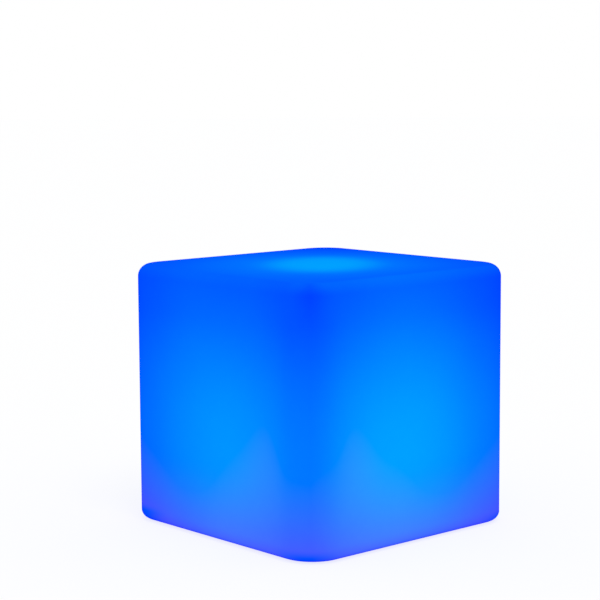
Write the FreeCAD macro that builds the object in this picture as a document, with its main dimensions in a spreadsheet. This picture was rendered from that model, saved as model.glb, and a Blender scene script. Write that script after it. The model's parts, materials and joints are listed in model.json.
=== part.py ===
import FreeCAD, Part
import math
import os
import re
import Sketcher
from FreeCAD import Vector

# A rechargeable LED cube light: a hollow translucent cube, lit by a sealed light module
# that is screwed into a round recess in its underside.
# Millimetres. +Z is up, the faces look along X and Y, and the origin is the middle of the
# surface that the cube stands on.

# Driving dimensions ----------------------------------------------------------------------

SIZES = {
    # the hollow cube and its feet
    "cube_side": 400.0,
    "shell_height": 372.0,
    "corner_radius": 53.0,
    "top_edge_radius": 18.5,
    "bottom_edge_radius": 12.0,
    "shell_wall": 4.0,
    "foot_proud": 2.0,
    "foot_seat_depth": 1.0,
    "foot_radius": 10.0,
    "foot_fit": 0.3,
    "foot_inset": 42.0,
    "foot_chamfer": 0.5,
    # the recess in the underside, and the ring of threaded inserts in its roof
    "recess_depth": 14.0,
    "recess_margin": 9.0,
    "recess_lip": 3.0,
    "opening_margin": 3.5,
    "boss_radius": 6.0,
    "boss_margin": 1.0,
    "boss_cap": 2.0,
    "insert_radius": 2.8,
    "insert_length": 8.0,
    "insert_sink": 0.5,
    "insert_hole_depth": 13.0,
    "flange_screw_count": 6.0,
    # the gasket and the module's base: a plate with a tub above it
    "gasket_thickness": 2.0,
    "gasket_margin": 1.0,
    "plate_thickness": 4.0,
    "plate_chamfer": 1.0,
    "flange_edge": 7.0,
    "tub_bore": 56.0,
    "tub_wall": 2.5,
    "column_radius": 4.5,
    "column_sink": 1.0,
    "column_count": 4.0,
    "post_radius": 3.5,
    "post_height": 10.0,
    "post_spread": 29.0,
    # screws: large ones hold the plate, small ones hold everything else
    "screw_clearance": 0.25,
    "thread_fit": 0.05,
    "large_screw_radius": 2.0,
    "large_head_radius": 4.0,
    "large_head_height": 2.6,
    "large_screw_length": 16.0,
    "small_screw_radius": 1.5,
    "small_head_radius": 2.8,
    "small_head_height": 2.0,
    "thread_bite": 7.0,
    "pilot_extra": 1.5,
    "head_chamfer": 0.7,
    "drive_width": 0.9,
    "drive_depth": 1.2,
    # power button, its bezel and its switch
    "service_offset": 27.0,
    "service_spacing": 32.0,
    "button_radius": 6.0,
    "button_gap": 0.3,
    "button_proud": 2.5,
    "button_travel": 1.5,
    "button_chamfer": 0.6,
    "collar_overlap": 2.0,
    "collar_thickness": 1.2,
    "bezel_width": 3.0,
    "bezel_height": 1.2,
    "switch_width": 12.0,
    "switch_height": 6.0,
    "switch_wall": 1.2,
    "plunger_radius": 3.2,
    "plunger_proud": 2.0,
    # charging socket, its hinged flap and the charging light
    "jack_width": 10.0,
    "jack_nose_radius": 4.5,
    "jack_nose_gap": 0.3,
    "jack_nose_sink": 1.5,
    "jack_bore_radius": 2.75,
    "jack_bore_depth": 9.5,
    "jack_pin_radius": 1.0,
    "jack_pin_sink": 1.0,
    "flap_width": 19.0,
    "flap_thickness": 2.0,
    "flap_reach": 13.0,
    "knuckle_radius": 1.7,
    "knuckle_length": 8.0,
    "hinge_pin_radius": 0.8,
    "hinge_fit": 0.05,
    "hinge_gap": 0.3,
    "ear_thickness": 3.0,
    "bracket_seat_depth": 2.0,
    "plug_pad_radius": 7.0,
    "plug_stub_gap": 0.6,
    "plug_stub_height": 1.2,
    "light_pipe_radius": 1.5,
    "light_pipe_head": 0.7,
    "light_pipe_offset": 13.0,
    "charge_led_height": 5.0,
    "charge_led_gap": 0.3,
    # control board
    "board_thickness": 1.6,
    "board_margin": 1.0,
    "chip_offset": 36.0,
    "chip_spacing": 26.0,
    "chip_height": 1.4,
    "controller_width": 9.0,
    "charger_width": 6.0,
    "capacitor_radius": 4.0,
    "capacitor_height": 9.0,
    "inductor_width": 8.0,
    "inductor_height": 5.0,
    "socket_width": 8.0,
    "socket_depth": 5.0,
    "socket_height": 6.0,
    "socket_spacing": 28.0,
    "socket_gap": 3.5,
    # battery
    "cell_radius": 9.2,
    "cell_length": 65.0,
    "cell_gap": 0.6,
    "cell_tip_radius": 3.2,
    "cell_tip_height": 0.8,
    "cell_fit": 0.1,
    "link_thickness": 0.3,
    "link_height": 8.0,
    "guard_thickness": 1.2,
    "guard_height": 14.0,
    "cradle_floor": 1.5,
    "cradle_drop": 2.0,
    "cradle_wall": 2.0,
    "cradle_length": 56.0,
    "ear_radius": 4.0,
    "clamp_thickness": 2.0,
    "clamp_length": 14.0,
    "clamp_foot": 3.0,
    "clamp_headroom": 2.5,
    # leads
    "lead_radius": 1.3,
    "lead_hole_gap": 0.7,
    "battery_lead_rise": 8.5,
    "light_lead_shift": 2.0,
    "light_lead_run": 5.0,
    # light: carrier plate, LED board, seal and dome
    "carrier_thickness": 2.0,
    "led_board_thickness": 1.6,
    "led_board_margin": 1.5,
    "led_board_screw_edge": 5.0,
    "led_width": 5.0,
    "led_height": 1.6,
    "inner_ring_radius": 15.0,
    "outer_ring_radius": 30.0,
    "inner_ring_count": 6.0,
    "outer_ring_count": 12.0,
    "receiver_width": 6.0,
    "receiver_depth": 5.0,
    "receiver_height": 7.0,
    "seal_thickness": 1.2,
    "rim_thickness": 3.0,
    "head_margin": 1.0,
    "dome_height": 20.0,
    "dome_wall": 2.0,
}

os.makedirs("parts", exist_ok=True)
doc = FreeCAD.newDocument("LedCubeLight")

sheet = doc.addObject("Spreadsheet::Sheet", "Sizes")
for row, (name, value) in enumerate(SIZES.items(), start=1):
    sheet.set(f"A{row}", name)
    sheet.set(f"B{row}", str(value))
    sheet.setAlias(f"B{row}", name)

# Levels above the ground, and radii from the cube's axis, that follow from the sizes.
LEVELS = {
    "shell_bottom": "foot_proud",
    "shell_top": "shell_bottom + shell_height",
    "cavity_bottom": "shell_bottom + shell_wall",
    "cavity_top": "shell_top - shell_wall",
    "recess_roof": "shell_bottom + recess_depth",
    "plate_top": "recess_roof - gasket_thickness",
    "plate_bottom": "plate_top - plate_thickness",
    "board_bottom": "plate_top + post_height",
    "board_top": "board_bottom + board_thickness",
    "cell_axis": "board_top + cradle_floor + cell_radius",
    "cradle_top": "cell_axis - cradle_drop",
    "cell_top": "cell_axis + cell_radius",
    "clamp_foot_top": "cradle_top + clamp_foot",
    "clamp_top": "cell_top + clamp_thickness",
    "tub_top": "clamp_top + clamp_headroom",
    "carrier_top": "tub_top + carrier_thickness",
    "led_board_top": "carrier_top + led_board_thickness",
    "seal_top": "carrier_top + seal_thickness",
    "rim_top": "seal_top + rim_thickness",
    "tub_radius": "tub_bore + tub_wall",
    "opening_radius": "tub_radius + opening_margin",
    "screw_circle": "opening_radius + boss_radius + boss_margin",
    "flange_radius": "screw_circle + flange_edge",
    "recess_radius": "flange_radius + recess_margin",
    "column_circle": "tub_bore - column_radius + column_sink",
    "board_radius": "column_circle - column_radius - board_margin",
    "dome_radius": "column_circle - small_head_radius - head_margin",
    "dome_bore": "dome_radius - dome_wall",
    "led_board_radius": "dome_bore - led_board_margin",
    "led_screw_circle": "led_board_radius - led_board_screw_edge",
    "sphere_radius": "(dome_radius * dome_radius + dome_height * dome_height) / (2 * dome_height)",
    "sphere_level": "rim_top + dome_height - sphere_radius",
    "service_y": "service_spacing / 2",
    "collar_radius": "button_radius + collar_overlap",
    "switch_bottom": "board_bottom - switch_height",
    "plunger_bottom": "switch_bottom - plunger_proud",
    "plunger_top": "board_bottom - switch_wall - button_travel - button_gap",
    "jack_mouth": "plate_bottom + jack_nose_sink",
    "jack_bore_top": "jack_mouth + jack_bore_depth",
    "jack_hole_radius": "jack_nose_radius + jack_nose_gap",
    "hinge_x": "service_offset - flap_reach",
    "hinge_level": "plate_bottom - hinge_gap - knuckle_radius",
    "flap_top": "hinge_level + flap_thickness / 2",
    "knuckle_gap_y": "knuckle_length / 2 + hinge_gap",
    "bracket_width": "2 * (knuckle_radius + hinge_gap)",
    "bracket_length": "2 * (knuckle_gap_y + ear_thickness)",
    "cell_x": "cell_radius + cell_gap / 2",
    "cradle_x": "cell_x + cell_radius + cradle_wall",
    "ear_x": "cradle_x + ear_radius",
    "link_y": "cell_length / 2 + cell_tip_height",
    "guard_y": "cell_length / 2 + link_thickness",
    "socket_x": "socket_spacing / 2",
    "socket_y": "guard_y + guard_thickness + socket_gap + socket_depth / 2",
    "light_lead_y": "light_lead_shift - socket_y",
    "lead_hole_radius": "lead_radius + lead_hole_gap",
}
levels = doc.addObject("App::VarSet", "Levels")


def linked(text):
    """An expression in which each bare name points at its cell or its level."""

    def point(match):
        word = match.group(0)
        if word in SIZES:
            return f"Sizes.{word}"
        if word in LEVELS:
            return f"Levels.{word}"
        return word

    return re.sub(r"[a-z][a-z_]*", point, text)


for name, text in LEVELS.items():
    levels.addProperty("App::PropertyFloat", name, "Levels")
    levels.setExpression(name, linked(text))
doc.recompute()


def value(name):
    """A size or a level as a number, for the pieces that no feature can bind."""
    return float(getattr(sheet if name in SIZES else levels, name))


def bind(thing, where, text):
    thing.setExpression(where, linked(text))


# Sketches and features ---------------------------------------------------------------------

SUBPARTS = []
# How a sketch numbers its own axes and a curve's points: its origin is the start of its X axis.
X_AXIS, Y_AXIS = range(-1, -3, -1)
START, END, CENTRE = range(1, 4)


def subpart(thing, label):
    thing.Label = label
    SUBPARTS.append(thing)
    return thing


def new_body(name):
    body = doc.addObject("PartDesign::Body", name)
    body.AllowCompound = True
    return body


def datum(body, role):
    return next(feature for feature in body.Origin.OriginFeatures if feature.Role == role)


def new_sketch(body, plane, offset):
    sketch = body.newObject("Sketcher::SketchObject", body.Name + "_sketch")
    sketch.AttachmentSupport = [(datum(body, plane), "")]
    sketch.MapMode = "FlatFace"
    for axis, text in zip("xyz", offset):
        bind(sketch, f"AttachmentOffset.Base.{axis}", text)
    return sketch


def constrain(sketch, text, *terms):
    index = sketch.addConstraint(Sketcher.Constraint(*terms))
    bind(sketch, f"Constraints[{index}]", text)


def draw_circle(sketch, radius):
    start = 1.0 + sketch.GeometryCount
    circle = sketch.addGeometry(Part.Circle(Vector(), Vector(0, 0, 1), start), False)
    sketch.addConstraint(Sketcher.Constraint("Coincident", circle, CENTRE, X_AXIS, START))
    constrain(sketch, radius, "Radius", circle, start)


def draw_polygon(sketch, points):
    """A closed outline through points whose two coordinates are each an expression."""
    count = len(points)
    places = [Vector(10 + i, 10 + i * i, 0) for i in range(count)]
    for i in range(count):
        sketch.addGeometry(Part.LineSegment(places[i], places[(i + 1) % count]), False)
    for i in range(count):
        joint = (i, END, (i + 1) % count, START)
        sketch.addConstraint(Sketcher.Constraint("Coincident", *joint))
    for i, (across, along) in enumerate(points):
        for kind, text, axis in (("DistanceX", across, Y_AXIS), ("DistanceY", along, X_AXIS)):
            if text == "0":
                sketch.addConstraint(Sketcher.Constraint("PointOnObject", i, START, axis))
            else:
                constrain(sketch, text, kind, X_AXIS, START, i, START, 1.0 + i)


def draw_rectangle(sketch, width, depth):
    half_w, half_d = f"({width}) / 2", f"({depth}) / 2"
    corners = [("-", "-"), ("", "-"), ("", ""), ("-", "")]
    draw_polygon(sketch, [(f"{sx}{half_w}", f"{sy}{half_d}") for sx, sy in corners])


def extrude(body, sketch, kind, height, flipped=False):
    feature = body.newObject(f"PartDesign::{kind}", f"{body.Name}_{kind.lower()}")
    feature.Profile = sketch
    feature.Reversed = flipped
    bind(feature, "Length", height)
    sketch.Visibility = False
    return feature


def disc(body, at, height, *radii):
    """A round or ring-shaped pad that rises from a point."""
    sketch = new_sketch(body, "XY_Plane", at)
    for radius in radii:
        draw_circle(sketch, radius)
    return extrude(body, sketch, "Pad", height)


def bore(body, at, height, radius):
    """A round pocket that is cut upwards from a point."""
    sketch = new_sketch(body, "XY_Plane", at)
    draw_circle(sketch, radius)
    return extrude(body, sketch, "Pocket", height, flipped=True)


def block(body, at, width, depth, height):
    sketch = new_sketch(body, "XY_Plane", at)
    draw_rectangle(sketch, width, depth)
    return extrude(body, sketch, "Pad", height)


def notch(body, at, width, depth, height):
    """A rectangular pocket that is cut upwards from a point."""
    sketch = new_sketch(body, "XY_Plane", at)
    draw_rectangle(sketch, width, depth)
    return extrude(body, sketch, "Pocket", height, flipped=True)


def side_sketch(body, x, y, z):
    """A sketch that looks along Y: its own axes are X and Z."""
    return new_sketch(body, "XZ_Plane", (x, z, f"-({y})"))


def across(body, kind, x, y, z, length, *radii):
    """A round pad or pocket that lies along Y, centred on a point."""
    sketch = side_sketch(body, x, y, z)
    for radius in radii:
        draw_circle(sketch, radius)
    feature = extrude(body, sketch, kind, length)
    feature.Midplane = True
    return feature


def turned(body, at, profile):
    """A solid of revolution about a vertical axis: profile is (radius, level) points."""
    sketch = side_sketch(body, at[0], at[1], "0")
    draw_polygon(sketch, profile)
    feature = body.newObject("PartDesign::Revolution", body.Name + "_turn")
    feature.Profile = sketch
    feature.ReferenceAxis = (sketch, ["V_Axis"])
    feature.Angle = 360
    sketch.Visibility = False
    return feature


def ring_of(body, features, count):
    """Repeats features round the cube's vertical axis."""
    pattern = body.newObject("PartDesign::PolarPattern", body.Name + "_ring")
    pattern.Originals = features
    pattern.Axis = (datum(body, "Z_Axis"), [""])
    pattern.Angle = 360
    bind(pattern, "Occurrences", count)
    body.Tip = pattern
    return pattern


def round_edges(body, radius, wanted):
    """Rounds the edges of the body's last feature that the test picks."""
    doc.recompute()
    base = body.Tip
    edges = base.Shape.Edges
    names = [f"Edge{i}" for i, edge in enumerate(edges, start=1) if wanted(edge)]
    fillet = body.newObject("PartDesign::Fillet", body.Name + "_fillet")
    fillet.Base = (base, names)
    bind(fillet, "Radius", radius)
    return fillet


def circle_at(radius, level):
    """Picks the horizontal circles of one radius at one level."""

    def wanted(edge):
        if edge.Degenerated or not isinstance(edge.Curve, Part.Circle):
            return False
        misfit = abs(edge.Curve.Radius - value(radius)) + abs(edge.Curve.Center.z - value(level))
        return misfit < 1e-4

    return wanted


def upright(edge):
    """Picks the vertical edges."""
    return abs(edge.tangentAt(edge.FirstParameter).z) > 1 - 1e-6


def flat_at(level):
    """Picks the edges that lie wholly at one level."""

    def wanted(edge):
        return all(abs(point.z - value(level)) < 1e-4 for point in edge.discretize(3))

    return wanted


def screw(body, at, seat, sign, length, size):
    """A pan-head screw with a cross recess. sign is the way that its thread points."""
    head = "-" if sign == "+" else "+"
    thread, head_radius, head_height = (f"{size}_{part}" for part in SCREW_PARTS)
    top = f"{seat} {head} {head_height}"
    end = f"{seat} {sign} ({length})"
    profile = [
        ("0", top),
        (f"{head_radius} - head_chamfer", top),
        (head_radius, f"{top} {sign} head_chamfer"),
        (head_radius, seat),
        (thread, seat),
        (thread, f"{end} {head} {thread} / 2"),
        (f"{thread} / 2", end),
        ("0", end),
    ]
    features = [turned(body, at, profile)]
    floor = top if sign == "+" else f"{top} - drive_depth"
    for width, depth in (("drive_width", head_radius), (head_radius, "drive_width")):
        features.append(notch(body, (*at, floor), width, depth, "drive_depth"))
    return features


SCREW_PARTS = ("screw_radius", "head_radius", "head_height")


# The cube ----------------------------------------------------------------------------------


def cube_form(name, inset, low, top):
    """The cube's form with its edges rounded, or the same form drawn in by an inset."""
    body = new_body(name)
    side = f"cube_side - 2 * {inset}"
    block(body, ("0", "0", low), side, side, f"{top} - {low}")
    for radius, wanted in (
        ("corner_radius", upright),
        ("top_edge_radius", flat_at(top)),
        ("bottom_edge_radius", flat_at(low)),
    ):
        round_edges(body, f"{radius} - {inset}", wanted)
    return body


def make_shell():
    """The seamless translucent cube, moulded hollow, with a round recess underneath."""
    outside = cube_form("shell_outside", "0", "shell_bottom", "shell_top")
    bore(outside, ("0", "0", "shell_bottom"), "recess_depth", "recess_radius")
    round_edges(outside, "recess_lip", circle_at("recess_radius", "shell_bottom"))
    bore(outside, ("0", "0", "recess_roof"), "shell_wall", "opening_radius")
    hole = bore(outside, ("screw_circle", "0", "recess_roof"), "insert_hole_depth", "insert_radius")
    ring_of(outside, [hole], "flange_screw_count")
    foot = "cube_side / 2 - foot_inset"
    seat = bore(outside, (foot, foot, "shell_bottom"), "foot_seat_depth", "foot_radius + foot_fit")
    ring_of(outside, [seat], "4")

    cavity = cube_form("shell_cavity", "shell_wall", "cavity_bottom", "cavity_top")
    bore(cavity, ("0", "0", "cavity_bottom"), "recess_depth", "recess_radius + shell_wall")
    boss_height = "recess_depth - shell_wall + insert_hole_depth + boss_cap"
    boss = bore(cavity, ("screw_circle", "0", "cavity_bottom"), boss_height, "boss_radius")
    ring_of(cavity, [boss], "flange_screw_count")

    shell = doc.addObject("Part::Cut", "cube_shell")
    shell.Base = outside
    shell.Tool = cavity
    subpart(shell, "cube_shell")


def make_inserts():
    body = subpart(new_body("threaded_inserts"), "threaded_inserts")
    low = "recess_roof + insert_sink"
    inside = "large_screw_radius + thread_fit"
    sleeve = disc(body, ("screw_circle", "0", low), "insert_length", "insert_radius", inside)
    ring_of(body, [sleeve], "flange_screw_count")


def make_feet():
    body = subpart(new_body("foot_pads"), "foot_pads")
    foot = "cube_side / 2 - foot_inset"
    profile = [
        ("0", "0"),
        ("foot_radius - foot_chamfer", "0"),
        ("foot_radius", "foot_chamfer"),
        ("foot_radius", "shell_bottom + foot_seat_depth"),
        ("0", "shell_bottom + foot_seat_depth"),
    ]
    ring_of(body, [turned(body, (foot, foot), profile)], "4")


# The module's base ---------------------------------------------------------------------------


def make_gasket():
    body = subpart(new_body("base_gasket"), "base_gasket")
    inside = "opening_radius - gasket_margin"
    disc(body, ("0", "0", "plate_top"), "gasket_thickness", "flange_radius", inside)
    hole_radius = "large_screw_radius + screw_clearance"
    hole = bore(body, ("screw_circle", "0", "plate_top"), "gasket_thickness", hole_radius)
    ring_of(body, [hole], "flange_screw_count")


def make_base():
    """The round plate that closes the recess, with the tub that holds the electronics."""
    body = subpart(new_body("module_base"), "module_base")
    edge = "flange_radius - plate_chamfer"
    plate = [
        ("0", "plate_bottom"),
        (edge, "plate_bottom"),
        ("flange_radius", "plate_bottom + plate_chamfer"),
        ("flange_radius", "plate_top"),
        ("0", "plate_top"),
    ]
    turned(body, ("0", "0"), plate)
    disc(body, ("0", "0", "plate_top"), "tub_top - plate_top", "tub_radius", "tub_bore")
    column = disc(body, ("column_circle", "0", "plate_top"), "tub_top - plate_top", "column_radius")
    pilot_depth = "thread_bite + pilot_extra"
    pilot_low = f"tub_top - ({pilot_depth})"
    pilot = bore(body, ("column_circle", "0", pilot_low), pilot_depth, "small_screw_radius")
    ring_of(body, [column, pilot], "column_count")

    post_pilot = f"board_bottom - ({pilot_depth})"
    post = disc(body, ("post_spread", "post_spread", "plate_top"), "post_height", "post_radius")
    post_hole = bore(body, ("post_spread", "post_spread", post_pilot), pilot_depth, "small_screw_radius")
    ring_of(body, [post, post_hole], "4")
    post = disc(body, ("ear_x", "0", "plate_top"), "post_height", "post_radius")
    post_hole = bore(body, ("ear_x", "0", post_pilot), pilot_depth, "small_screw_radius")
    ring_of(body, [post, post_hole], "2")

    hole_radius = "large_screw_radius + screw_clearance"
    hole = bore(body, ("screw_circle", "0", "plate_bottom"), "plate_thickness", hole_radius)
    ring_of(body, [hole], "flange_screw_count")
    for x, y, radius in (
        ("service_offset", "-service_y", "button_radius + button_gap"),
        ("service_offset", "service_y", "jack_hole_radius"),
        ("light_pipe_offset", "0", "light_pipe_radius"),
    ):
        bore(body, (x, y, "plate_bottom"), "plate_thickness", radius)
    bracket_place = ("hinge_x", "service_y", "plate_bottom")
    notch(body, bracket_place, "bracket_width", "bracket_length", "bracket_seat_depth")


def make_flange_screws():
    body = subpart(new_body("flange_screws"), "flange_screws")
    parts = screw(body, ("screw_circle", "0"), "plate_bottom", "+", "large_screw_length", "large")
    ring_of(body, parts, "flange_screw_count")


# Power button ----------------------------------------------------------------------------------


def make_button():
    place = ("service_offset", "-service_y")
    body = subpart(new_body("button_bezel"), "button_bezel")
    inside = "button_radius + button_gap"
    low = "plate_bottom - bezel_height"
    profile = [
        (inside, low),
        (f"{inside} + bezel_width - bezel_height / 2", low),
        (f"{inside} + bezel_width", f"{low} + bezel_height / 2"),
        (f"{inside} + bezel_width", "plate_bottom"),
        (inside, "plate_bottom"),
    ]
    turned(body, place, profile)

    body = subpart(new_body("power_button"), "power_button")
    face = "plate_bottom - button_proud"
    collar = "plate_top + button_gap"
    profile = [
        ("0", face),
        ("button_radius - button_chamfer", face),
        ("button_radius", f"{face} + button_chamfer"),
        ("button_radius", collar),
        ("collar_radius", collar),
        ("collar_radius", f"{collar} + collar_thickness"),
        ("plunger_radius", f"{collar} + collar_thickness"),
        ("plunger_radius", "plunger_bottom"),
        ("0", "plunger_bottom"),
    ]
    turned(body, place, profile)

    body = subpart(new_body("power_switch"), "power_switch")
    block(body, (*place, "switch_bottom"), "switch_width", "switch_width", "switch_height")
    well = "switch_height - switch_wall"
    bore(body, (*place, "switch_bottom"), well, "plunger_radius + button_gap")

    body = subpart(new_body("switch_plunger"), "switch_plunger")
    disc(body, (*place, "plunger_bottom"), "plunger_top - plunger_bottom", "plunger_radius")


# Charging socket ---------------------------------------------------------------------------------


def make_jack():
    place = ("service_offset", "service_y")
    body = subpart(new_body("dc_jack"), "dc_jack")
    block(body, (*place, "plate_top"), "jack_width", "jack_width", "post_height")
    disc(body, (*place, "jack_mouth"), "plate_top - jack_mouth", "jack_nose_radius")
    bore(body, (*place, "jack_mouth"), "jack_bore_depth", "jack_bore_radius")

    body = subpart(new_body("dc_jack_pin"), "dc_jack_pin")
    low = "jack_mouth + jack_pin_sink"
    profile = [
        ("0", low),
        ("jack_pin_radius / 2", low),
        ("jack_pin_radius", f"{low} + jack_pin_radius / 2"),
        ("jack_pin_radius", "jack_bore_top"),
        ("0", "jack_bore_top"),
    ]
    turned(body, place, profile)

    place = ("light_pipe_offset", "0")
    body = subpart(new_body("charge_led"), "charge_led")
    low = "board_bottom - charge_led_height"
    disc(body, (*place, low), "charge_led_height", "light_pipe_radius")

    body = subpart(new_body("light_pipe"), "light_pipe")
    shoulder = "light_pipe_radius + light_pipe_head"
    profile = [
        ("0", "plate_bottom"),
        ("light_pipe_radius", "plate_bottom"),
        ("light_pipe_radius", "plate_top"),
        (shoulder, "plate_top"),
        (shoulder, f"{low} - charge_led_gap"),
        ("0", f"{low} - charge_led_gap"),
    ]
    turned(body, place, profile)


def make_bracket():
    """The bracket for the flap's pin: two ears on a strip that is let into the plate."""
    body = subpart(new_body("hinge_bracket"), "hinge_bracket")
    strip = ("hinge_x", "service_y", "plate_bottom")
    block(body, strip, "bracket_width", "bracket_length", "bracket_seat_depth")
    for sign in ("-", "+"):
        y = f"service_y {sign} (knuckle_gap_y + ear_thickness / 2)"
        neck = ("hinge_x", y, "hinge_level")
        block(body, neck, "bracket_width", "ear_thickness", "plate_bottom - hinge_level")
        across(body, "Pad", "hinge_x", y, "hinge_level", "ear_thickness", "bracket_width / 2")
        across(body, "Pocket", "hinge_x", y, "hinge_level", "ear_thickness", "hinge_pin_radius")


def make_flap():
    """The hinged flap over the socket, with a soft plug on its inner side."""
    y = "service_y"
    body = subpart(new_body("port_flap"), "port_flap")
    low = "hinge_level - flap_thickness / 2"
    length = "flap_reach + flap_width / 2"
    middle = f"hinge_x + ({length}) / 2"
    block(body, (middle, y, low), length, "knuckle_length", "flap_thickness")
    disc(body, ("service_offset", y, low), "flap_thickness", "flap_width / 2")
    across(body, "Pad", "hinge_x", y, "hinge_level", "knuckle_length", "knuckle_radius")
    pin_hole = "hinge_pin_radius + hinge_fit"
    across(body, "Pocket", "hinge_x", y, "hinge_level", "knuckle_length", pin_hole)

    body = subpart(new_body("port_plug"), "port_plug")
    stub = "jack_hole_radius - plug_stub_gap"
    stub_top = "plate_bottom + plug_stub_height"
    profile = [
        ("0", "flap_top"),
        ("plug_pad_radius", "flap_top"),
        ("plug_pad_radius", "plate_bottom"),
        (stub, "plate_bottom"),
        (stub, stub_top),
        ("0", stub_top),
    ]
    turned(body, ("service_offset", y), profile)

    body = subpart(new_body("port_hinge_pin"), "port_hinge_pin")
    across(body, "Pad", "hinge_x", y, "hinge_level", "bracket_length", "hinge_pin_radius")


# Control board -----------------------------------------------------------------------------------


def make_board():
    body = subpart(new_body("control_board"), "control_board")
    disc(body, ("0", "0", "board_bottom"), "board_thickness", "board_radius")
    clear = "small_screw_radius + screw_clearance"
    hole = bore(body, ("post_spread", "post_spread", "board_bottom"), "board_thickness", clear)
    ring_of(body, [hole], "4")
    hole = bore(body, ("ear_x", "0", "board_bottom"), "board_thickness", clear)
    ring_of(body, [hole], "2")

    body = subpart(new_body("control_board_screws"), "control_board_screws")
    length = "board_thickness + thread_bite"
    parts = screw(body, ("post_spread", "post_spread"), "board_top", "-", length, "small")
    ring_of(body, parts, "4")

    half = "chip_spacing / 2"
    body = subpart(new_body("control_chips"), "control_chips")
    for x, y, width in (
        ("-chip_offset", f"-{half}", "controller_width"),
        ("-chip_offset", half, "charger_width"),
    ):
        block(body, (x, y, "board_top"), width, width, "chip_height")

    body = subpart(new_body("storage_capacitor"), "storage_capacitor")
    disc(body, ("chip_offset", f"-{half}", "board_top"), "capacitor_height", "capacitor_radius")

    body = subpart(new_body("charge_inductor"), "charge_inductor")
    place = ("chip_offset", half, "board_top")
    block(body, place, "inductor_width", "inductor_width", "inductor_height")

    body = subpart(new_body("lead_sockets"), "lead_sockets")
    for x in ("-socket_x", "socket_x"):
        place = (x, "-socket_y", "board_top")
        block(body, place, "socket_width", "socket_depth", "socket_height")


# Battery -----------------------------------------------------------------------------------------


def make_battery():
    for label, x in (("battery_cell_a", "-cell_x"), ("battery_cell_b", "cell_x")):
        body = subpart(new_body(label), label)
        across(body, "Pad", x, "0", "cell_axis", "cell_length", "cell_radius")
        tip_y = "(cell_length + cell_tip_height) / 2"
        across(body, "Pad", x, tip_y, "cell_axis", "cell_tip_height", "cell_tip_radius")

    body = subpart(new_body("cell_links"), "cell_links")
    width = "2 * cell_x + 2 * cell_tip_radius"
    low = "cell_axis - link_height / 2"
    for y in ("link_y + link_thickness / 2", "-(guard_y - link_thickness / 2)"):
        block(body, ("0", y, low), width, "link_thickness", "link_height")

    body = subpart(new_body("protection_board"), "protection_board")
    low = "cell_axis - guard_height / 2"
    y = "-(guard_y + guard_thickness / 2)"
    block(body, ("0", y, low), "2 * (cell_x + cell_radius)", "guard_thickness", "guard_height")

    channel = "cell_radius + cell_fit"
    body = subpart(new_body("battery_cradle"), "battery_cradle")
    block(body, ("0", "0", "board_top"), "2 * cradle_x", "cradle_length", "cradle_top - board_top")
    ear = disc(body, ("ear_x", "0", "board_top"), "cradle_top - board_top", "ear_radius")
    root_x = "(cradle_x + ear_x) / 2"
    root = (root_x, "0", "board_top")
    neck = block(body, root, "ear_x - cradle_x", "2 * ear_radius", "cradle_top - board_top")
    clear = "small_screw_radius + screw_clearance"
    hole = bore(body, ("ear_x", "0", "board_top"), "cradle_top - board_top", clear)
    ring_of(body, [ear, neck, hole], "2")
    for x in ("-cell_x", "cell_x"):
        across(body, "Pocket", x, "0", "cell_axis", "cradle_length", channel)

    body = subpart(new_body("battery_clamp"), "battery_clamp")
    rise = "clamp_top - cradle_top"
    block(body, ("0", "0", "cradle_top"), "2 * cradle_x", "clamp_length", rise)
    foot = "2 * (ear_x + ear_radius)"
    block(body, ("0", "0", "cradle_top"), foot, "2 * ear_radius", "clamp_foot")
    hole = bore(body, ("ear_x", "0", "cradle_top"), "clamp_foot", clear)
    ring_of(body, [hole], "2")
    for x in ("-cell_x", "cell_x"):
        across(body, "Pocket", x, "0", "cell_axis", "clamp_length", channel)

    body = subpart(new_body("clamp_screws"), "clamp_screws")
    length = "clamp_foot_top - board_bottom + thread_bite"
    parts = screw(body, ("ear_x", "0"), "clamp_foot_top", "-", length, "small")
    ring_of(body, parts, "2")


# Light -------------------------------------------------------------------------------------------


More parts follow.
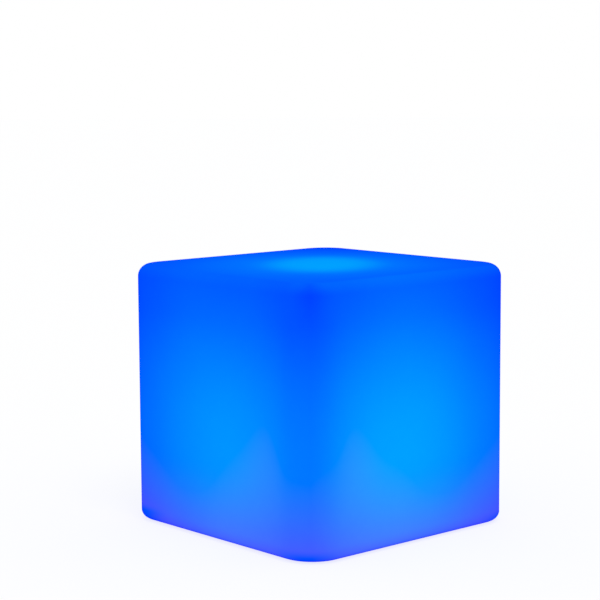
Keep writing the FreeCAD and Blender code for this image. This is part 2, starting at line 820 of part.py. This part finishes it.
def make_light():
    clear = "small_screw_radius + screw_clearance"
    lead_hole = ("socket_x", "light_lead_y")

    body = subpart(new_body("led_carrier"), "led_carrier")
    disc(body, ("0", "0", "tub_top"), "carrier_thickness", "tub_radius")
    hole = bore(body, ("column_circle", "0", "tub_top"), "carrier_thickness", clear)
    ring_of(body, [hole], "column_count")
    hole = bore(body, ("led_screw_circle", "0", "tub_top"), "carrier_thickness", "small_screw_radius")
    ring_of(body, [hole], "3")
    bore(body, (*lead_hole, "tub_top"), "carrier_thickness", "lead_hole_radius")

    body = subpart(new_body("led_board"), "led_board")
    disc(body, ("0", "0", "carrier_top"), "led_board_thickness", "led_board_radius")
    hole = bore(body, ("led_screw_circle", "0", "carrier_top"), "led_board_thickness", clear)
    ring_of(body, [hole], "3")
    bore(body, (*lead_hole, "carrier_top"), "led_board_thickness", "lead_hole_radius")

    body = subpart(new_body("led_board_screws"), "led_board_screws")
    length = "led_board_thickness + carrier_thickness"
    ring_of(body, screw(body, ("led_screw_circle", "0"), "led_board_top", "-", length, "small"), "3")

    body = subpart(new_body("led_packages"), "led_packages")
    for radius, count in (
        ("inner_ring_radius", "inner_ring_count"),
        ("outer_ring_radius", "outer_ring_count"),
    ):
        chip = block(body, (radius, "0", "led_board_top"), "led_width", "led_width", "led_height")
        ring_of(body, [chip], count)

    body = subpart(new_body("ir_receiver"), "ir_receiver")
    centre = ("0", "0", "led_board_top")
    block(body, centre, "receiver_width", "receiver_depth", "receiver_height")

    body = subpart(new_body("dome_seal"), "dome_seal")
    disc(body, ("0", "0", "carrier_top"), "seal_thickness", "tub_radius", "dome_bore")
    hole = bore(body, ("column_circle", "0", "carrier_top"), "seal_thickness", clear)
    ring_of(body, [hole], "column_count")

    body = subpart(new_body("dome_screws"), "dome_screws")
    length = "rim_top - tub_top + thread_bite"
    parts = screw(body, ("column_circle", "0"), "rim_top", "-", length, "small")
    ring_of(body, parts, "column_count")


def make_dome():
    """The frosted dome: a shell cut from two balls, on a flat screwed rim."""
    rim = new_body("dome_rim")
    disc(rim, ("0", "0", "seal_top"), "rim_thickness", "tub_radius", "dome_bore")
    clear = "small_screw_radius + screw_clearance"
    hole = bore(rim, ("column_circle", "0", "seal_top"), "rim_thickness", clear)
    ring_of(rim, [hole], "column_count")

    balls = []
    for name, radius in (("ball", "sphere_radius"), ("hollow", "sphere_radius - dome_wall")):
        ball = doc.addObject("Part::Sphere", "dome_" + name)
        bind(ball, "Radius", radius)
        bind(ball, "Placement.Base.z", "sphere_level")
        balls.append(ball)
    skin = doc.addObject("Part::Cut", "dome_skin")
    skin.Base, skin.Tool = balls

    window = doc.addObject("Part::Cylinder", "dome_window")
    bind(window, "Radius", "dome_radius")
    bind(window, "Height", "dome_height + rim_thickness")
    bind(window, "Placement.Base.z", "seal_top")
    cap = doc.addObject("Part::Common", "dome_cap")
    cap.Base = skin
    cap.Tool = window

    dome = doc.addObject("Part::Fuse", "diffuser_dome")
    dome.Base = rim
    dome.Tool = cap
    subpart(dome, "diffuser_dome")


# Leads -------------------------------------------------------------------------------------------


def rounded_route(points):
    """Straight runs through the points, joined by arcs that touch both runs."""
    edges = []
    start = points[0]
    for before, corner, after in zip(points, points[1:], points[2:]):
        back = before - corner
        ahead = after - corner
        half_turn = (math.pi - back.getAngle(ahead)) / 2
        cut = 0.45 * min(back.Length, ahead.Length)
        radius = cut / math.tan(half_turn)
        enter = corner + back.normalize() * cut
        leave = corner + ahead.normalize() * cut
        centre = corner + (back + ahead).normalize() * math.hypot(cut, radius)
        middle = centre + (corner - centre).normalize() * radius
        print(f"lead bend radius {radius:.1f} mm")
        edges.append(Part.LineSegment(start, enter).toShape())
        edges.append(Part.Arc(enter, middle, leave).toShape())
        start = leave
    edges.append(Part.LineSegment(start, points[-1]).toShape())
    return Part.Wire(edges)


def make_lead(label, points):
    route = rounded_route(points)
    heading = (points[1] - points[0]).normalize()
    section = Part.Wire(Part.Circle(points[0], heading, value("lead_radius")).toShape())
    tube = route.makePipeShell([section], True, True)
    expected = math.pi * value("lead_radius") ** 2 * route.Length
    print(f"{label}: length {route.Length:.1f} mm, volume {tube.Volume:.1f} of {expected:.1f} mm3")
    lead = subpart(doc.addObject("Part::Feature", label), label)
    lead.Shape = tube


def make_leads():
    socket_top = value("board_top") + value("socket_height")
    socket_y = -value("socket_y")

    x = -value("socket_x")
    guard_face = -value("guard_y") - value("guard_thickness")
    leave = socket_top + value("battery_lead_rise")
    corner = Vector(x, socket_y, leave)
    make_lead("battery_lead", [Vector(x, guard_face, leave), corner, Vector(x, socket_y, socket_top)])

    x = value("socket_x")
    hole_y = value("light_lead_y")
    run = value("light_lead_run")
    top = value("led_board_top")
    points = [
        Vector(x, socket_y, socket_top),
        Vector(x, socket_y, socket_top + run),
        Vector(x, hole_y, value("tub_top") - run),
        Vector(x, hole_y, top),
    ]
    make_lead("led_lead", points)


# The whole light -----------------------------------------------------------------------------------

make_shell()
make_inserts()
make_feet()
make_gasket()
make_base()
make_flange_screws()
make_button()
make_jack()
make_bracket()
make_flap()
make_board()
make_battery()
make_light()
make_dome()
make_leads()
doc.recompute()

for thing in doc.Objects:
    if "Invalid" in thing.State or "Error" in thing.State:
        raise RuntimeError(f"{thing.Name} did not build: {thing.State}")
for thing in SUBPARTS:
    if thing.Shape.isNull() or not thing.Shape.isValid() or not thing.Shape.Solids:
        raise RuntimeError(f"{thing.Label} has no valid solid")
for thing in SUBPARTS:
    thing.Shape.exportStep(f"parts/{thing.Label}.step")
print(f"{len(SUBPARTS)} sub-parts, {sum(len(thing.Shape.Solids) for thing in SUBPARTS)} solids")
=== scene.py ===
import json
import math

import bpy
from mathutils import Matrix, Vector

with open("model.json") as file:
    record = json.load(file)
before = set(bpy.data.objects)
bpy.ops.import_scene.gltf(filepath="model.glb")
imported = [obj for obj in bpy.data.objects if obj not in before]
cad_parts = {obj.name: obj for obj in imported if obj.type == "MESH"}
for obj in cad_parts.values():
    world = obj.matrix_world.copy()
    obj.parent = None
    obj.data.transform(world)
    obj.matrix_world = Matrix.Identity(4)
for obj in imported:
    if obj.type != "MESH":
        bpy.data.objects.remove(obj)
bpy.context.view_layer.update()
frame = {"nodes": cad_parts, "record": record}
nodes = frame["nodes"]
slot_of = {part["node"]: part["material_slot"] for part in frame["record"]["subparts"]}

# the cube in the part's own frame, in metres
SIDE = 0.400
TOP = 0.374
FEET = 0.002

# sockets of a Mix node that is set to colours
MIX_FACTOR = 0
MIX_COLOURS = (6, 7)
MIX_RESULT = 2


# ---------------------------------------------------------------- shader arithmetic
class Term:
    """A number in a shader tree. Arithmetic on it adds the nodes that work it out."""

    def __init__(self, tree, socket):
        self.tree = tree
        self.socket = socket

    def math(self, operation, *others):
        node = self.tree.nodes.new("ShaderNodeMath")
        node.operation = operation
        for index, value in enumerate((self, *others)):
            if isinstance(value, Term):
                self.tree.links.new(value.socket, node.inputs[index])
            else:
                node.inputs[index].default_value = value
        return Term(self.tree, node.outputs[0])

    def __add__(self, other):
        return self.math("ADD", other)

    def __mul__(self, other):
        return self.math("MULTIPLY", other)

    def __sub__(self, other):
        return self.math("SUBTRACT", other)

    def __truediv__(self, other):
        return self.math("DIVIDE", other)

    def __neg__(self):
        return self * -1.0

    __radd__ = __add__
    __rmul__ = __mul__

    def __rsub__(self, other):
        return -self + other

    def bell(self, centre, width):
        """1 at the centre, falling off to either side as a Gaussian does."""
        offset = (self - centre) / width
        return (-(offset * offset)).math("EXPONENT")

    def rise(self, low, high):
        """0 below low, 1 above high, smooth between them."""
        node = self.tree.nodes.new("ShaderNodeMapRange")
        node.interpolation_type = "SMOOTHSTEP"
        node.inputs["From Min"].default_value = low
        node.inputs["From Max"].default_value = high
        self.tree.links.new(self.socket, node.inputs["Value"])
        return Term(self.tree, node.outputs["Result"])


class Finish:
    """A material: its tree, the place in the part's frame, and one Principled shader."""

    def __init__(self, name):
        self.material = bpy.data.materials.new(name)
        self.material.use_nodes = True
        self.tree = self.material.node_tree
        self.shader = next(n for n in self.tree.nodes if n.type == "BSDF_PRINCIPLED")
        coordinates = self.tree.nodes.new("ShaderNodeTexCoord")
        self.place = coordinates.outputs["Object"]

    def xyz(self):
        """The point's three coordinates, in metres."""
        split = self.tree.nodes.new("ShaderNodeSeparateXYZ")
        self.tree.links.new(self.place, split.inputs[0])
        return [Term(self.tree, socket) for socket in split.outputs]

    def scaled(self, scale):
        """The point with each axis scaled, for a pattern that is stretched one way."""
        mapping = self.tree.nodes.new("ShaderNodeMapping")
        mapping.inputs["Scale"].default_value = scale
        self.tree.links.new(self.place, mapping.inputs["Vector"])
        return mapping.outputs["Vector"]

    def noise(self, scale, detail=2.0, place=None):
        """A cloudy pattern from 0 to 1. The scale is in cycles for each metre."""
        node = self.tree.nodes.new("ShaderNodeTexNoise")
        node.inputs["Scale"].default_value = scale
        node.inputs["Detail"].default_value = detail
        self.tree.links.new(place or self.place, node.inputs["Vector"])
        return Term(self.tree, node.outputs[0])

    def blend(self, factor, low, high):
        """A colour between low and high. Each may be a colour or a socket of one."""
        node = self.tree.nodes.new("ShaderNodeMix")
        node.data_type = "RGBA"
        self.tree.links.new(factor.socket, node.inputs[MIX_FACTOR])
        for index, colour in zip(MIX_COLOURS, (low, high)):
            if isinstance(colour, bpy.types.NodeSocket):
                self.tree.links.new(colour, node.inputs[index])
            else:
                node.inputs[index].default_value = (*colour, 1.0)
        return node.outputs[MIX_RESULT]

    def mottled(self, pattern, colour, darkest, lightest):
        """The colour, made darker and lighter by a pattern from 0 to 1."""
        dark, light = (
            tuple(min(1.0, channel * factor) for channel in colour)
            for factor in (darkest, lightest)
        )
        return self.blend(pattern, dark, light)

    def colour(self, red, green, blue):
        """A colour from three Terms."""
        node = self.tree.nodes.new("ShaderNodeCombineColor")
        for index, value in enumerate((red, green, blue)):
            self.tree.links.new(value.socket, node.inputs[index])
        return node.outputs[0]

    def wire(self, name, value):
        """Sets one of the shader's inputs from a Term, a socket or a constant."""
        target = self.shader.inputs[name]
        if isinstance(value, Term):
            self.tree.links.new(value.socket, target)
        elif isinstance(value, bpy.types.NodeSocket):
            self.tree.links.new(value, target)
        else:
            target.default_value = value

    def bump(self, height, depth, strength=1.0):
        """Fine relief of that depth, in metres."""
        node = self.tree.nodes.new("ShaderNodeBump")
        node.inputs["Strength"].default_value = strength
        node.inputs["Distance"].default_value = depth
        self.tree.links.new(height.socket, node.inputs["Height"])
        self.tree.links.new(node.outputs[0], self.shader.inputs["Normal"])


def varied(mean, *patterns):
    """A number about that mean. Each pattern runs from 0 to 1 and comes with its spread."""
    total = mean - sum(spread for _, spread in patterns) / 2.0
    for pattern, spread in patterns:
        total = pattern * spread + total
    return total


# ---------------------------------------------------------------- the glowing shell
# Strengths are shares of full light and lengths are metres. "along" is the place along a
# face: -0.2 at the edge towards the camera, 0.2 at the face's other edge. The two far faces
# are the two near ones mirrored. "left" is 1 on the face to the camera's left, and "nook"
# is 1 at the upright edges.
def face_glow(x, y, z, along):
    """Green on the upright faces: a wide pool of light on each, painted shade on the -X and +Y
    faces and as a dark line at the foot, and a painted highlight along the top edge.
    """
    pool_green, base_green = 0.3654, -0.0097
    pool_level, pool_up, pool_down = 0.1328, 0.2140, 0.1598
    pool_along, pool_wide = -0.0314, 0.2147
    above = (z - pool_level) / pool_up
    below = (pool_level - z) / pool_down
    upright = above.math("MAXIMUM", below)
    across = (along - pool_along) / pool_wide
    pool = (-(upright * upright) - across * across).math("EXPONENT")

    edge_place, edge_wide, edge_loss = -0.1806, 0.0249, 0.1254
    front_edge = along.bell(edge_place, edge_wide)
    face = (pool * pool_green + base_green) * (1.0 - edge_loss * front_edge)

    far_gain, far_start, far_full = 0.1245, 0.10, 0.20
    # painted shade: shaded_side darkens the -X and +Y faces, standing in for the side turned away
    # from the studio light
    shade_loss, shade_full = 0.1731, 0.1327
    shaded_side = ((y - x) / SIDE).rise(0.0, shade_full)
    face = face * (1.0 + far_gain * along.rise(far_start, far_full))
    face = face * (1.0 - shade_loss * shaded_side)

    # painted highlight: a lighter band along the top edge, stronger near the front and back
    # upright edges and weaker on the shaded side
    shoulder_green, shoulder_start, shoulder_lift = 0.0198, 0.3081, 0.0054
    lip_green, lip_start, lip_loss = 0.0407, 0.3551, 0.4285
    rim_highlight_gain = 0.44
    shoulder_highlight = shoulder_green * (z + shoulder_lift * shaded_side).rise(shoulder_start, TOP)
    lip_highlight = lip_green * z.rise(lip_start, TOP) * (1.0 - lip_loss * shaded_side)
    rim = (shoulder_highlight + lip_highlight) * (1.0 + rim_highlight_gain * front_edge)

    spill_green, spill_start, spill_full = 0.0167, -0.038, 0.1025
    spill_low, spill_high = 0.10, 0.33
    spill = spill_green * shaded_side * along.rise(spill_start, spill_full)
    spill = spill * z.rise(spill_low, spill_high)

    core_place, core_wide, core_loss = -0.185, 0.0157, 0.3356
    core_low, core_high = 0.3049, 0.3718
    core = along.bell(core_place, core_wide) * z.rise(core_low, core_high)

    # painted shade: the faces darken towards the ground, most of all in a thin line at the foot
    foot_loss, foot_level = 0.25, 0.0233
    line_loss, line_level = 0.45, 0.010
    foot = 1.0 - foot_loss * (1.0 - z.rise(FEET, foot_level))
    foot_shade_line = 1.0 - line_loss * (1.0 - z.rise(FEET, line_level))
    return (face + rim + spill) * (1.0 - core_loss * core) * foot * foot_shade_line


def lid_glow(x, y):
    """Green on the top face: the light module shows through as a soft round pool."""
    deep_shift, wide_shift = 0.017, -0.006
    pool_deep, pool_wide, pool_edge = 0.110, 0.079, 4.2
    pool_green, lid_green = 0.161, 0.190
    rim_loss, rim_start, rim_full = 0.111, 0.031, 0.290
    far_loss = 0.114
    deep = (x + y) * math.sqrt(0.5) + deep_shift
    wide = (x - y) * math.sqrt(0.5) + wide_shift
    squares = (deep / pool_deep) * (deep / pool_deep) + (wide / pool_wide) * (wide / pool_wide)
    radius = squares.math("SQRT")
    middle = (x * x + y * y).math("SQRT")
    pool = (-radius.math("POWER", pool_edge)).math("EXPONENT")
    rim = middle.rise(rim_start, rim_full)
    return pool * pool_green + lid_green - rim_loss * rim - far_loss * deep


def painted_floor_bounce(along, z, left, nook):
    """Red low down, which turns the blue to violet: painted light standing in for light thrown
    back by the floor and for the floor's reflection. It reaches highest between the pools.
    """
    peak_place, peak_shift = -0.1107, 0.0090
    peak_wide, peak_wider = 0.0455, 0.0114
    offset = along + peak_shift * (1.0 - left) - peak_place
    ratio = offset / (offset.math("GREATER_THAN", 0.0) * peak_wider + peak_wide)
    peak = (-(ratio * ratio)).math("EXPONENT")

    # how high the red reaches, along the face
    crest_low, peak_height = 0.0622, 0.1148
    hump_height, hump_place, hump_wide = 0.0365, -0.0341, 0.0424
    far_height, far_start, far_full = 0.0750, 0.05, 0.20
    near_height, near_start, near_full = 0.0347, 0.1402, 0.1827
    crest = crest_low + hump_height * along.bell(hump_place, hump_wide) + peak_height * peak
    crest = crest + far_height * along.rise(far_start, far_full)
    crest = crest + near_height * (-along).rise(near_start, near_full)

    # how it grows below that line
    veil_red, veil_depth = 0.0261, 0.0548
    low_red, low_level = 0.0457, 0.1142
    depth = (crest - z).math("MAXIMUM", 0.0)
    low = (1.0 - z / low_level).math("MAXIMUM", 0.0)
    red = veil_red * (1.0 - (depth / -veil_depth).math("EXPONENT")) + low_red * low * low

    # and how it fades at the ground, most of all at the corners
    foot_loss, foot_level = 0.38, 0.0126
    corner_lift, corner_start, corner_full = 0.008, 0.0, 0.1
    corner_low, corner_high = 0.008, 0.020
    foot = 1.0 - foot_loss * (1.0 - z.rise(FEET, foot_level))
    lifted = z - corner_lift * left * along.rise(corner_start, corner_full)
    above_corner = lifted.rise(corner_low, corner_high)
    return red * foot * (1.0 - nook * (1.0 - above_corner))


def glow_material():
    """Blue plastic lit from inside: cyan pools and dark edges, with painted light from the floor
    that turns it violet low down, painted shade at the foot and on the -X and +Y faces, and a
    painted highlight along the top edge.
    """
    paint = Finish("glowing_shell")
    x, y, z = paint.xyz()
    wide, deep = x.math("ABSOLUTE"), y.math("ABSOLUTE")
    reach = wide.math("MAXIMUM", deep)
    along = -(x * y) / reach.math("MAXIMUM", 0.001)

    blend = 0.05
    left = ((y - x) / SIDE).rise(-blend, blend)
    left_shift, right_shift, shift_full = 0.024, 0.011, 0.1
    shift = left_shift * left * along.rise(0.0, shift_full)
    shift = shift - right_shift * (1.0 - left) * (-along).rise(0.0, shift_full)
    nook_start, nook_full = 0.120, 0.180
    nook = (wide.math("MINIMUM", deep) + shift).rise(nook_start, nook_full)

    lid_start = 0.3718
    lid = z.rise(lid_start, TOP)
    green = face_glow(x, y, z, along) * (1.0 - lid) + lid_glow(x, y) * lid
    red = painted_floor_bounce(along, z, left, nook)

    # the wall is a little thicker here and thinner there
    slow_share, unevenness = 0.6, 0.10
    slow = paint.noise(scale=14.0, detail=3.0)
    quick = paint.noise(scale=90.0, detail=2.0)
    wall = slow * slow_share + quick * (1.0 - slow_share)
    uneven = varied(1.0, (wall, unevenness))
    green_offset, foot_shade_blue_loss, blue_full = 0.012, 0.26, 0.014
    green = (green * uneven - green_offset).math("MAXIMUM", 0.0)
    # painted shade: the blue is darker at the foot
    blue = 1.0 - foot_shade_blue_loss * (1.0 - z.rise(FEET, blue_full))
    paint.wire("Emission Color", paint.colour(red * uneven, green, blue))
    paint.wire("Emission Strength", 1.0)
    darkest, lightest = (0.0003, 0.010, 0.22), (0.0005, 0.016, 0.34)
    roughness, roughness_spread = 0.50, 0.12
    paint.wire("Base Color", paint.blend(wall, darkest, lightest))
    skin = paint.noise(scale=220.0, detail=3.0)
    paint.wire("Roughness", varied(roughness, (skin, roughness_spread)))
    paint.wire("Specular IOR Level", 0.0)
    fine_share = 0.7
    fine = paint.noise(scale=900.0, detail=2.0)
    coarse = paint.noise(scale=160.0, detail=2.0)
    grain = fine * fine_share + coarse * (1.0 - fine_share)
    paint.bump(grain, depth=0.00012, strength=0.5)
    return paint.material


# ---------------------------------------------------------------- plastics, rubbers and metals
# In these, a scale is in cycles for each metre and a bump's depth is in metres.
def moulded(name, colour, roughness, texture=1600.0, depth=0.00004):
    """Injection-moulded plastic with a fine spark-eroded grain."""
    paint = Finish(name)
    cloud = paint.noise(scale=45.0, detail=3.0)
    grain = paint.noise(scale=texture, detail=2.0)
    cloud_spread, grain_spread = 0.08, 0.16
    paint.wire("Base Color", paint.mottled(cloud, colour, darkest=0.90, lightest=1.08))
    paint.wire("Roughness", varied(roughness, (grain, grain_spread), (cloud, cloud_spread)))
    paint.bump(grain, depth)
    return paint.material


def rubbery(name, colour, roughness=0.8):
    """Rubber or silicone: matt, faintly dusty, with a coarse skin."""
    paint = Finish(name)
    dust_start, dust_full = 0.45, 0.8
    dust = paint.noise(scale=120.0, detail=4.0).rise(dust_start, dust_full)
    skin = paint.noise(scale=700.0, detail=3.0)
    skin_spread, gloss = 0.2, 0.3
    paint.wire("Base Color", paint.mottled(dust, colour, darkest=0.85, lightest=1.35))
    paint.wire("Roughness", varied(roughness, (skin, skin_spread)))
    paint.wire("Specular IOR Level", gloss)
    paint.bump(skin, depth=0.00008)
    return paint.material


def metal(name, colour, roughness, stretch):
    """Bare or plated metal, with the fine lines that the tool left."""
    paint = Finish(name)
    lines = paint.noise(scale=1.0, detail=2.0, place=paint.scaled(stretch))
    tarnish = paint.noise(scale=260.0, detail=4.0)
    lines_spread, tarnish_spread = 0.18, 0.10
    paint.wire("Base Color", paint.mottled(tarnish, colour, darkest=0.82, lightest=1.08))
    paint.wire("Metallic", 1.0)
    paint.wire("Roughness", varied(roughness, (lines, lines_spread), (tarnish, tarnish_spread)))
    paint.bump(lines, depth=0.00002, strength=0.6)
    return paint.material


def circuit(name, mask, track, metallic=0.0):
    """A printed board: solder mask over lighter tracks, with tinned rows of holes."""
    paint = Finish(name)
    x, y, _ = paint.xyz()
    # radians for each metre: the tracks' pitch and length, and the rows of holes
    track_wave, length_wave, length_phase, hole_wave = 700.0, 180.0, 0.7, 1237.0
    bend_depth, track_edge, hole_edge = 0.004, (0.35, 0.55), (0.86, 0.95)
    bend = paint.noise(scale=60.0, detail=1.0) * bend_depth
    ends = (y * length_wave + length_phase).math("SINE")
    tracks = (((x + bend) * track_wave).math("SINE") * ends).rise(*track_edge)
    rows = (x * hole_wave).math("SINE") * (y * hole_wave).math("SINE")
    pads = rows.rise(*hole_edge)

    tin, pad_height = (0.62, 0.60, 0.54), 0.5
    roughness, varnish_spread = 0.415, 0.15
    varnish = paint.noise(scale=900.0, detail=2.0)
    board = paint.blend(tracks, mask, track)
    paint.wire("Base Color", paint.blend(pads, board, tin))
    paint.wire("Metallic", pads * (1.0 - metallic) + metallic)
    paint.wire("Roughness", varied(roughness, (varnish, varnish_spread)))
    paint.bump(tracks + pads * pad_height, depth=0.00003)
    return paint.material


def sleeve(name, colour):
    """Shrink sleeve, glossy, with slight wrinkles round the cell."""
    paint = Finish(name)
    round_the_cell = paint.scaled((60.0, 400.0, 400.0))
    wrinkle = paint.noise(scale=1.0, detail=3.0, place=round_the_cell)
    roughness, wrinkle_spread, varnish = 0.24, 0.12, 0.4
    paint.wire("Base Color", paint.mottled(wrinkle, colour, darkest=0.8, lightest=1.15))
    paint.wire("Roughness", varied(roughness, (wrinkle, wrinkle_spread)))
    paint.wire("Coat Weight", varnish)
    paint.bump(wrinkle, depth=0.00015)
    return paint.material


def lit(name, colour, glow, strength, scale):
    """Plastic with light behind it, a little uneven."""
    paint = Finish(name)
    skin_share, roughness, cloud_spread = 12.0, 0.45, 0.2
    cloud = paint.noise(scale=scale, detail=3.0)
    skin = paint.noise(scale=scale * skin_share, detail=2.0)
    paint.wire("Base Color", paint.mottled(cloud, colour, darkest=0.85, lightest=1.1))
    paint.wire("Emission Color", paint.mottled(cloud, glow, darkest=0.8, lightest=1.0))
    paint.wire("Emission Strength", strength)
    paint.wire("Roughness", varied(roughness, (cloud, cloud_spread)))
    paint.bump(skin, depth=0.00004)
    return paint.material


def clear(name, tint):
    """Clear moulded plastic with a faint haze."""
    paint = Finish(name)
    haze = paint.noise(scale=500.0, detail=3.0)
    roughness, haze_spread = 0.13, 0.18
    clearness, acrylic_ior = 0.75, 1.49
    paint.wire("Base Color", paint.mottled(haze, tint, darkest=0.93, lightest=1.0))
    paint.wire("Roughness", varied(roughness, (haze, haze_spread)))
    paint.wire("Transmission Weight", clearness)
    paint.wire("IOR", acrylic_ior)
    paint.bump(haze, depth=0.00002)
    return paint.material


finishes = {
    "shell": glow_material(),
    "dome": lit(
        "dome_plastic", (0.30, 0.50, 0.85), glow=(0.04, 0.32, 1.0), strength=1.0, scale=60.0
    ),
    "led": lit(
        "led_phosphor", (0.80, 0.78, 0.45), glow=(0.10, 0.45, 1.0), strength=1.5, scale=900.0
    ),
    "indicator": lit(
        "indicator_resin", (0.30, 0.70, 0.35), glow=(0.05, 0.60, 0.12), strength=0.3, scale=900.0
    ),
    "clear_plastic": clear("light_pipe_plastic", (0.86, 0.90, 0.92)),
    "base_plastic": moulded("module_plastic", (0.70, 0.71, 0.70), roughness=0.46),
    "trim": moulded(
        "bezel_plastic", (0.10, 0.105, 0.115), roughness=0.24, texture=2600.0, depth=0.00002
    ),
    "button": moulded(
        "button_plastic", (0.035, 0.037, 0.041), roughness=0.52, texture=1300.0, depth=0.00006
    ),
    "flap": moulded(
        "flap_plastic", (0.045, 0.047, 0.051), roughness=0.50, texture=1300.0, depth=0.00006
    ),
    "black_plastic": moulded("cradle_plastic", (0.022, 0.022, 0.024), roughness=0.5),
    "switch_plastic": moulded("switch_plastic", (0.42, 0.05, 0.035), roughness=0.38),
    "socket": moulded("connector_plastic", (0.74, 0.70, 0.58), roughness=0.42),
    "chip": moulded(
        "chip_resin", (0.016, 0.016, 0.018), roughness=0.6, texture=2400.0, depth=0.00003
    ),
    "capacitor": sleeve("capacitor_sleeve", (0.03, 0.05, 0.16)),
    "circuit_board": circuit("board_green", mask=(0.010, 0.095, 0.035), track=(0.022, 0.17, 0.07)),
    "led_board": circuit(
        "board_white", mask=(0.80, 0.80, 0.78), track=(0.70, 0.70, 0.68), metallic=0.1
    ),
    "aluminium": metal(
        "brushed_aluminium", (0.70, 0.71, 0.72), roughness=0.34, stretch=(30.0, 2200.0, 2200.0)
    ),
    "cell_wrap": sleeve("cell_sleeve", (0.03, 0.24, 0.33)),
    "nickel": metal(
        "nickel_strip", (0.66, 0.64, 0.58), roughness=0.28, stretch=(1800.0, 60.0, 1800.0)
    ),
    "steel": metal(
        "zinc_plated_steel", (0.56, 0.57, 0.58), roughness=0.32, stretch=(900.0, 900.0, 120.0)
    ),
    "brass": metal(
        "knurled_brass", (0.66, 0.47, 0.19), roughness=0.34, stretch=(40.0, 40.0, 2600.0)
    ),
    "rubber": rubbery("foot_rubber", (0.36, 0.37, 0.38)),
    "gasket": rubbery("gasket_silicone", (0.035, 0.035, 0.038), roughness=0.7),
    "lead": rubbery("lead_insulation", (0.34, 0.015, 0.015), roughness=0.55),
}

for name, node in nodes.items():
    finish = finishes[slot_of[name]]
    if not node.material_slots:
        node.data.materials.append(finish)
    for place in node.material_slots:
        place.material = finish

# ---------------------------------------------------------------- floor, sky and lamps
FLOOR_RADIUS = 30.0
WHITE_SHARE = 0.80
WHITE = (1.0, 1.0, 1.0, 1.0)
WHITE_STRENGTH = 1.0
SKY_COLOUR = (0.97, 0.98, 1.0, 1.0)
SKY_STRENGTH = 0.74
KEY_ENERGY = 0.95
KEY_SPREAD = math.radians(35.0)
KEY_TURN = (math.radians(28.0), math.radians(-14.0), 0.0)


def seen_directly(tree):
    """1 for a camera, mirror or glass ray and 0 for the rays that light the object."""
    path = tree.nodes.new("ShaderNodeLightPath")
    camera_ray, glossy_ray, transmission_ray = (
        Term(tree, path.outputs[ray])
        for ray in ("Is Camera Ray", "Is Glossy Ray", "Is Transmission Ray")
    )
    return camera_ray.math("MAXIMUM", glossy_ray).math("MAXIMUM", transmission_ray)


def mixed(tree, factor, first, second):
    """A shader between two others."""
    node = tree.nodes.new("ShaderNodeMixShader")
    if isinstance(factor, Term):
        tree.links.new(factor.socket, node.inputs[0])
    else:
        node.inputs[0].default_value = factor
    tree.links.new(first, node.inputs[1])
    tree.links.new(second, node.inputs[2])
    return node.outputs[0]


def floor_material():
    """White ground that keeps a faint shadow. It can't be seen from below."""
    material = bpy.data.materials.new("floor_white")
    material.use_nodes = True
    tree = material.node_tree
    tree.nodes.clear()
    paint = tree.nodes.new("ShaderNodeBsdfDiffuse")
    paint.inputs["Color"].default_value = WHITE
    shine = tree.nodes.new("ShaderNodeEmission")
    shine.inputs["Strength"].default_value = WHITE_STRENGTH
    clear_side = tree.nodes.new("ShaderNodeBsdfTransparent")
    white = mixed(tree, WHITE_SHARE, paint.outputs[0], shine.outputs[0])
    upper = mixed(tree, seen_directly(tree), paint.outputs[0], white)
    geometry = tree.nodes.new("ShaderNodeNewGeometry")
    output = tree.nodes.new("ShaderNodeOutputMaterial")
    back = Term(tree, geometry.outputs["Backfacing"])
    tree.links.new(mixed(tree, back, upper, clear_side.outputs[0]), output.inputs["Surface"])
    return material


bpy.ops.mesh.primitive_circle_add(vertices=96, radius=FLOOR_RADIUS, fill_type="NGON")
floor = bpy.context.object
floor.name = "floor"
floor.data.materials.append(floor_material())
floor.visible_diffuse = False
floor.visible_shadow = False

world = bpy.data.worlds.new("studio")
bpy.context.scene.world = world
world.use_nodes = True
sky = world.node_tree
sky.nodes.clear()
soft = sky.nodes.new("ShaderNodeBackground")
soft.inputs["Color"].default_value = SKY_COLOUR
soft.inputs["Strength"].default_value = SKY_STRENGTH
plain = sky.nodes.new("ShaderNodeBackground")
plain.inputs["Color"].default_value = WHITE
plain.inputs["Strength"].default_value = WHITE_STRENGTH
sky_output = sky.nodes.new("ShaderNodeOutputWorld")
sky_shader = mixed(sky, seen_directly(sky), soft.outputs[0], plain.outputs[0])
sky.links.new(sky_shader, sky_output.inputs["Surface"])

key = bpy.data.objects.new("key_lamp", bpy.data.lights.new("key_lamp", "SUN"))
key.data.energy = KEY_ENERGY
key.data.angle = KEY_SPREAD
key.rotation_euler = KEY_TURN
bpy.context.scene.collection.objects.link(key)

# ---------------------------------------------------------------- camera
# Fitted to the cube's outline in the photograph. The cube is seen corner on, so the camera
# is placed as if it faced a corner and is then turned about the cube with its aim.
FOCAL_PIXELS = 1788.4
PICTURE_SIDE = 600.0
SENSOR = 36.0
CORNER_TURN = math.radians(42.315)
YAW = math.radians(0.539)
PITCH = math.radians(6.938)
ROLL = math.radians(0.320)
CAMERA_PLACE = Vector((-0.00291, -2.5555, 0.63159))
VIEW_DEPTH = 200.0

lens = bpy.data.cameras.new("camera")
lens.sensor_width = SENSOR
lens.lens = FOCAL_PIXELS * SENSOR / PICTURE_SIDE
lens.clip_end = VIEW_DEPTH
camera = bpy.data.objects.new("camera", lens)
turned = Matrix.Rotation(-CORNER_TURN, 4, "Z")
aim = Matrix.Rotation(YAW, 4, "Z") @ Matrix.Rotation(-PITCH, 4, "X")
aim = aim @ Matrix.Rotation(ROLL, 4, "Y")
level = Matrix.Rotation(math.radians(90.0), 4, "X")
place = Matrix.Translation(turned @ CAMERA_PLACE)
camera.matrix_world = place @ turned @ aim @ level
bpy.context.scene.collection.objects.link(camera)
bpy.context.scene.camera = camera
bpy.context.scene.view_settings.view_transform = "Standard"
